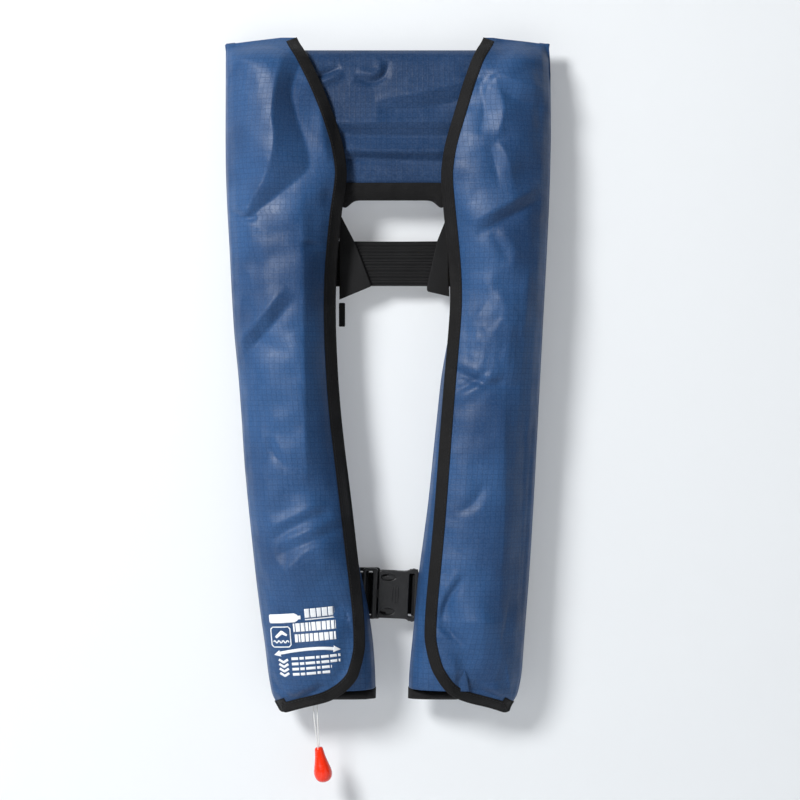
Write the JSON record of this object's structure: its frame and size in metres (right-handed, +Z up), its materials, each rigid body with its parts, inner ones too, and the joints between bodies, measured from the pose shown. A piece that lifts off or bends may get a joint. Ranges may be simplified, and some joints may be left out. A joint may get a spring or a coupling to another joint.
{
  "type": "inflatable life jacket",
  "caption": "Folded manual inflatable life jacket: horseshoe cover over a bladder, with a cylinder, pull toggle, oral tube and a buckled waist belt.",
  "frame": {"origin": "middle of the collar's back face, at the nape", "axes": "+Z up along the jacket, -Y towards the front, +X to the right as seen from the front"},
  "size_m": [0.3136, 0.0674, 0.7161],
  "materials": {
    "cover_fabric": "navy ripstop nylon, matt with a soft sheen",
    "binding_tape": "black woven edge tape, stitched",
    "closure_tape": "black hook and loop tape",
    "elastic_web": "black ribbed elastic webbing",
    "patch_fabric": "black reinforcement fabric",
    "belt_web": "black polyester webbing",
    "bladder_fabric": "yellow coated bladder fabric, satin",
    "reflective_tape": "silver retro-reflective tape",
    "buckle_plastic": "black moulded acetal",
    "inflator_plastic": "black moulded nylon",
    "lever_plastic": "pale grey moulded lever",
    "clip_plastic": "green indicator clip",
    "brass": "machined brass",
    "gasket_rubber": "black sealing rubber",
    "steel": "zinc plated steel",
    "cord_fibre": "white braided cord",
    "toggle_plastic": "glossy red-orange knob",
    "tube_plastic": "black flexible tube",
    "valve_plastic": "dark moulded valve",
    "cap_plastic": "red dust cap",
    "whistle_plastic": "orange moulded whistle"
  },
  "bodies": {
    "jacket": {"back_panel": "cover_fabric", "front_cover_left": "cover_fabric", "front_cover_right": "cover_fabric", "cover_binding_left": "binding_tape", "cover_binding_right": "binding_tape", "under_flap_left": "cover_fabric", "under_flap_right": "cover_fabric", "under_binding_left": "binding_tape", "under_binding_right": "binding_tape", "loop_tape_left": "closure_tape", "loop_tape_right": "closure_tape", "collar_cover": "cover_fabric", "collar_binding": "binding_tape", "bladder": "bladder_fabric", "reflective_tape_left": "reflective_tape", "reflective_tape_right": "reflective_tape", "inflation_manifold": "brass", "gasket_rear": "gasket_rubber", "gasket_front": "gasket_rubber", "inflator_body": "inflator_plastic", "cap_nut": "brass", "lever_pivot_pin": "steel", "indicator_clip": "clip_plastic", "piercing_spring": "steel", "oral_tube": "tube_plastic", "oral_valve_body": "valve_plastic", "valve_spring": "steel", "whistle_cord": "cord_fibre", "yoke_strap": "elastic_web", "strap_patch_left": "patch_fabric", "strap_patch_right": "patch_fabric", "harness_tab": "patch_fabric", "belt_tunnel_left": "cover_fabric", "belt_tunnel_right": "cover_fabric", "waist_belt": "belt_web", "buckle_male": "buckle_plastic"},
    "flap_left": {"front_flap_left": "cover_fabric", "flap_binding_left": "binding_tape", "hook_tape_left": "closure_tape"},
    "flap_right": {"front_flap_right": "cover_fabric", "flap_binding_right": "binding_tape", "hook_tape_right": "closure_tape"},
    "lever": {"firing_lever": "lever_plastic"},
    "pull": {"pull_cord": "cord_fibre", "pull_toggle": "toggle_plastic"},
    "pin": {"piercing_pin": "steel"},
    "cylinder": {"co2_cylinder": "steel"},
    "dust_cap": {"oral_dust_cap": "cap_plastic"},
    "poppet": {"valve_poppet": "valve_plastic"},
    "buckle_half": {"buckle_female": "buckle_plastic", "belt_end_right": "belt_web"},
    "prong_up": {"buckle_prong_upper": "buckle_plastic"},
    "prong_down": {"buckle_prong_lower": "buckle_plastic"},
    "adjuster": {"belt_adjuster": "buckle_plastic", "belt_tail": "belt_web"},
    "whistle": {"whistle": "whistle_plastic"}
  },
  "joints": [
    {"name": "flap_left_open", "type": "hinge", "parent": "jacket", "child": "flap_left", "pos_m": [-0.0485, -0.0463, -0.185], "axis": [-0.1533, 0, -0.9882], "range_deg": [0, 130]},
    {"name": "flap_right_open", "type": "hinge", "parent": "jacket", "child": "flap_right", "pos_m": [0.119, -0.0463, -0.562], "axis": [-0.1533, 0, 0.9882], "range_deg": [0, 130]},
    {"name": "lever_pull", "type": "hinge", "parent": "jacket", "child": "lever", "pos_m": [-0.0795, -0.024, -0.526], "axis": [0, 1, 0], "range_deg": [0, 80]},
    {"name": "cord_hang", "type": "hinge", "parent": "lever", "child": "pull", "pos_m": [-0.068, -0.024, -0.506], "axis": [0, 1, 0], "range_deg": [-81, 0]},
    {"name": "pin_drive", "type": "slide", "parent": "jacket", "child": "pin", "axis": [0, 0, 1], "range_m": [0, 0.0046], "deforming": ["piercing_spring"]},
    {"name": "cylinder_unscrew", "type": "hinge", "parent": "jacket", "child": "cylinder", "pos_m": [-0.0795, -0.024, -0.43], "axis": [0, 0, 1], "range_deg": [0, 720]},
    {"name": "cap_lift", "type": "slide", "parent": "jacket", "child": "dust_cap", "axis": [0, 0, 1], "range_m": [0, 0.016]},
    {"name": "valve_press", "type": "slide", "parent": "jacket", "child": "poppet", "axis": [0, 0, -1], "range_m": [0, 0.003], "deforming": ["valve_spring"]},
    {"name": "buckle_release", "type": "slide", "parent": "jacket", "child": "buckle_half", "axis": [0.999, 0, -0.0436], "range_m": [0, 0.036], "deforming": ["buckle_prong_upper", "buckle_prong_lower"]},
    {"name": "prong_squeeze_upper", "type": "hinge", "parent": "jacket", "child": "prong_up", "pos_m": [-0.00494, 0.0062, -0.43722], "axis": [0, 1, 0], "range_deg": [0, 9]},
    {"name": "prong_squeeze_lower", "type": "hinge", "parent": "jacket", "child": "prong_down", "pos_m": [-0.00625, 0.0062, -0.4672], "axis": [0, 1, 0], "range_deg": [-11, 0]},
    {"name": "belt_adjust", "type": "slide", "parent": "jacket", "child": "adjuster", "axis": [1, 0, 0], "range_m": [0, 0.06]},
    {"name": "whistle_swing", "type": "hinge", "parent": "jacket", "child": "whistle", "pos_m": [0.087, -0.024, -0.43], "axis": [0, 1, 0], "range_deg": [-8, 8]}
  ],
  "couplings": [
    {"joint": "cord_hang", "follows": "lever_pull", "ratio": -1},
    {"joint": "pin_drive", "follows": "lever_pull", "m_per_rad": 0.0032229},
    {"joint": "prong_squeeze_lower", "follows": "prong_squeeze_upper", "ratio": -1}
  ]
}
